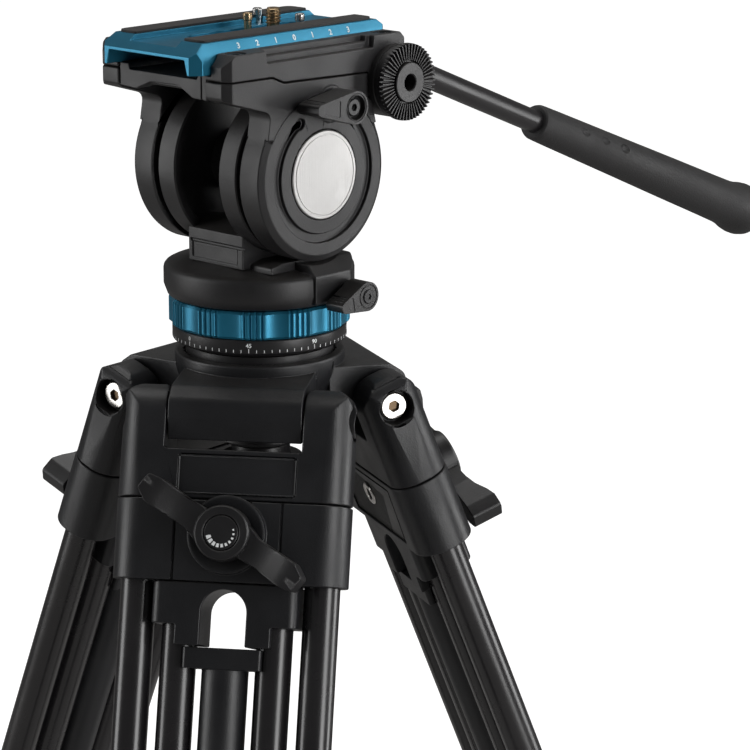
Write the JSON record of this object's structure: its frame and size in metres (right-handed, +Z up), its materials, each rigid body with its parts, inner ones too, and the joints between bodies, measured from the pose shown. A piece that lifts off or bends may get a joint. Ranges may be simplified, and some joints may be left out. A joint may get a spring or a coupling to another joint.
{
  "type": "video tripod with fluid head",
  "caption": "Twin-tube video tripod with a fluid pan and tilt head, quick-release camera plate and angled pan handle.",
  "frame": {"origin": "on the ground plane, on the vertical axis through the bowl, midway between the feet", "axes": "+Z up; lens side toward -Y, operator side toward +Y; +X is the operator's left seen from behind, the side with the lock levers"},
  "size_m": [0.5183, 0.6689, 0.8397],
  "materials": {
    "blue_anodised": "satin anodised",
    "pad_rubber": "matte",
    "screw_steel": "satin",
    "pin_brass": "satin",
    "pin_steel": "polished",
    "cast_black": "fine textured black coating",
    "screw_black": "black oxide",
    "knob_black": "matte",
    "badge_silver": "brushed",
    "vial": "glossy",
    "scale_black": "satin black",
    "handle_black": "satin anodised",
    "grip_rubber": "matte",
    "leg_plastic": "fine texture",
    "tube_black": "satin black anodised",
    "foot_rubber": "matte"
  },
  "bodies": {
    "bowl": {"spider": "cast_black"},
    "level_cup": {"level_cup": "cast_black"},
    "levelling_ball": {"half_ball": "cast_black", "scale_ring": "scale_black"},
    "tie_knob": {"tie_knob": "knob_black"},
    "drag_ring": {"drag_ring": "blue_anodised"},
    "pan_body": {"pan_housing": "cast_black", "head_body": "cast_black", "bubble_level": "vial"},
    "pan_lever": {"pan_lever": "knob_black"},
    "platform": {"platform": "cast_black", "deck_screws": "screw_black", "tilt_badge": "badge_silver", "rosette_near": "screw_black", "rosette_far": "screw_black"},
    "tilt_lever": {"tilt_lever": "knob_black"},
    "plate_knob": {"plate_knob": "knob_black"},
    "safety_button": {"safety_button": "knob_black"},
    "quick_plate": {"qr_plate": "blue_anodised", "qr_pads": "pad_rubber", "twist_pins": "pin_steel"},
    "camera_screw": {"camera_screw": "screw_steel"},
    "video_pin": {"video_pin": "pin_brass"},
    "pan_handle": {"handle_rosette": "screw_black", "handle_tube": "handle_black", "handle_grip": "grip_rubber"},
    "handle_clamp": {"handle_clamp": "knob_black"},
    "leg_a": {"shoulder_a": "leg_plastic", "block_a": "leg_plastic", "bolt_a": "pin_steel", "outer_tubes_a": "tube_black", "collar_a": "leg_plastic"},
    "lever_a": {"lever_a": "knob_black"},
    "middle_a": {"yoke_a": "leg_plastic", "inner_tubes_a": "tube_black", "mid_collar_a": "leg_plastic"},
    "lower_a": {"centre_leg_a": "tube_black"},
    "foot_a": {"foot_a": "foot_rubber"},
    "leg_b": {"shoulder_b": "leg_plastic", "block_b": "leg_plastic", "bolt_b": "pin_steel", "outer_tubes_b": "tube_black", "collar_b": "leg_plastic"},
    "lever_b": {"lever_b": "knob_black"},
    "middle_b": {"yoke_b": "leg_plastic", "inner_tubes_b": "tube_black", "mid_collar_b": "leg_plastic"},
    "lower_b": {"centre_leg_b": "tube_black"},
    "foot_b": {"foot_b": "foot_rubber"},
    "leg_c": {"shoulder_c": "leg_plastic", "block_c": "leg_plastic", "bolt_c": "pin_steel", "outer_tubes_c": "tube_black", "collar_c": "leg_plastic"},
    "lever_c": {"lever_c": "knob_black"},
    "middle_c": {"yoke_c": "leg_plastic", "inner_tubes_c": "tube_black", "mid_collar_c": "leg_plastic"},
    "lower_c": {"centre_leg_c": "tube_black"},
    "foot_c": {"foot_c": "foot_rubber"}
  },
  "joints": [
    {"name": "level_side", "type": "hinge", "parent": "bowl", "child": "level_cup", "pos_m": [0, 0, 0.70235], "axis": [1, 0, 0], "range_deg": [-4, 4]},
    {"name": "level_tilt", "type": "hinge", "parent": "level_cup", "child": "levelling_ball", "pos_m": [0, 0, 0.70235], "axis": [0, 1, 0], "range_deg": [-4, 4]},
    {"name": "tie_knob_turn", "type": "hinge", "parent": "levelling_ball", "child": "tie_knob", "pos_m": [0, 0, 0.65085], "axis": [0, 0, 1], "continuous": true},
    {"name": "drag_ring_turn", "type": "hinge", "parent": "levelling_ball", "child": "drag_ring", "pos_m": [0, 0, 0.71885], "axis": [0, 0, 1], "range_deg": [-150, 150]},
    {"name": "pan", "type": "hinge", "parent": "levelling_ball", "child": "pan_body", "pos_m": [0, 0, 0.73085], "axis": [0, 0, 1], "continuous": true},
    {"name": "pan_lock", "type": "hinge", "parent": "pan_body", "child": "pan_lever", "pos_m": [0.045, 0.0105, 0.72975], "axis": [1, 0, 0], "range_deg": [-45, 45]},
    {"name": "tilt", "type": "hinge", "parent": "pan_body", "child": "platform", "pos_m": [0, 0, 0.77815], "axis": [1, 0, 0], "range_deg": [-60, 75]},
    {"name": "tilt_lock", "type": "hinge", "parent": "platform", "child": "tilt_lever", "pos_m": [0.045, 0.004, 0.80565], "axis": [1, 0, 0], "range_deg": [-45, 60]},
    {"name": "plate_lock", "type": "hinge", "parent": "platform", "child": "plate_knob", "pos_m": [-0.042, -0.006, 0.82145], "axis": [1, 0, 0], "range_deg": [0, 90]},
    {"name": "safety_press", "type": "slide", "parent": "platform", "child": "safety_button", "axis": [1, 0, 0], "range_m": [0, 0.001], "stiffness_N_per_m": 800},
    {"name": "plate_slide", "type": "slide", "parent": "platform", "child": "quick_plate", "axis": [0, 1, 0], "range_m": [-0.03, 0.03]},
    {"name": "camera_screw_turn", "type": "hinge", "parent": "quick_plate", "child": "camera_screw", "pos_m": [0, 0.009, 0.83085], "axis": [0, 0, 1], "continuous": true},
    {"name": "video_pin_press", "type": "slide", "parent": "quick_plate", "child": "video_pin", "axis": [0, 0, 1], "range_m": [-0.004, 0], "stiffness_N_per_m": 500},
    {"name": "handle_angle", "type": "hinge", "parent": "platform", "child": "pan_handle", "pos_m": [-0.05, 0.04, 0.81085], "axis": [-1, 0, 0], "range_deg": [-60, 60]},
    {"name": "handle_clamp_turn", "type": "hinge", "parent": "pan_handle", "child": "handle_clamp", "pos_m": [-0.068, 0.04, 0.81085], "axis": [1, 0, 0], "continuous": true},
    {"name": "leg_fold_a", "type": "hinge", "parent": "bowl", "child": "leg_a", "pos_m": [0.02409, -0.0344, 0.68395], "axis": [0.8192, 0.5736, 0], "range_deg": [0, 21.3]},
    {"name": "leg_lock_a", "type": "hinge", "parent": "leg_a", "child": "lever_a", "pos_m": [0.04457, -0.06365, 0.64743], "axis": [0.5344, -0.7632, 0.3633], "range_deg": [-90, 90]},
    {"name": "middle_slide_a", "type": "slide", "parent": "leg_a", "child": "middle_a", "axis": [0.2084, -0.2976, -0.9317], "range_m": [0, 0.48]},
    {"name": "lower_slide_a", "type": "slide", "parent": "middle_a", "child": "lower_a", "axis": [0.2084, -0.2976, -0.9317], "range_m": [0, 0.5]},
    {"name": "foot_swivel_a", "type": "hinge", "parent": "lower_a", "child": "foot_a", "pos_m": [0.17369, -0.24805, 0.015], "axis": [0.8192, 0.5736, 0], "range_deg": [-25, 25]},
    {"name": "leg_fold_b", "type": "hinge", "parent": "bowl", "child": "leg_b", "pos_m": [0.01775, 0.03807, 0.68395], "axis": [-0.9063, 0.4226, 0], "range_deg": [0, 21.3]},
    {"name": "leg_lock_b", "type": "hinge", "parent": "leg_b", "child": "lever_b", "pos_m": [0.03284, 0.07043, 0.64743], "axis": [0.3937, 0.8444, 0.3633], "range_deg": [-90, 90]},
    {"name": "middle_slide_b", "type": "slide", "parent": "leg_b", "child": "middle_b", "axis": [0.1535, 0.3292, -0.9317], "range_m": [0, 0.48]},
    {"name": "lower_slide_b", "type": "slide", "parent": "middle_b", "child": "lower_b", "axis": [0.1535, 0.3292, -0.9317], "range_m": [0, 0.5]},
    {"name": "foot_swivel_b", "type": "hinge", "parent": "lower_b", "child": "foot_b", "pos_m": [0.12798, 0.27444, 0.015], "axis": [-0.9063, 0.4226, 0], "range_deg": [-25, 25]},
    {"name": "leg_fold_c", "type": "hinge", "parent": "bowl", "child": "leg_c", "pos_m": [-0.04184, -0.00366, 0.68395], "axis": [0.0872, -0.9962, 0], "range_deg": [0, 21.3]},
    {"name": "leg_lock_c", "type": "hinge", "parent": "leg_c", "child": "lever_c", "pos_m": [-0.07741, -0.00677, 0.64743], "axis": [-0.9281, -0.0812, 0.3633], "range_deg": [-90, 90]},
    {"name": "middle_slide_c", "type": "slide", "parent": "leg_c", "child": "middle_c", "axis": [-0.3619, -0.0317, -0.9317], "range_m": [0, 0.48]},
    {"name": "lower_slide_c", "type": "slide", "parent": "middle_c", "child": "lower_c", "axis": [-0.3619, -0.0317, -0.9317], "range_m": [0, 0.5]},
    {"name": "foot_swivel_c", "type": "hinge", "parent": "lower_c", "child": "foot_c", "pos_m": [-0.30166, -0.02639, 0.015], "axis": [0.0872, -0.9962, 0], "range_deg": [-25, 25]}
  ]
}
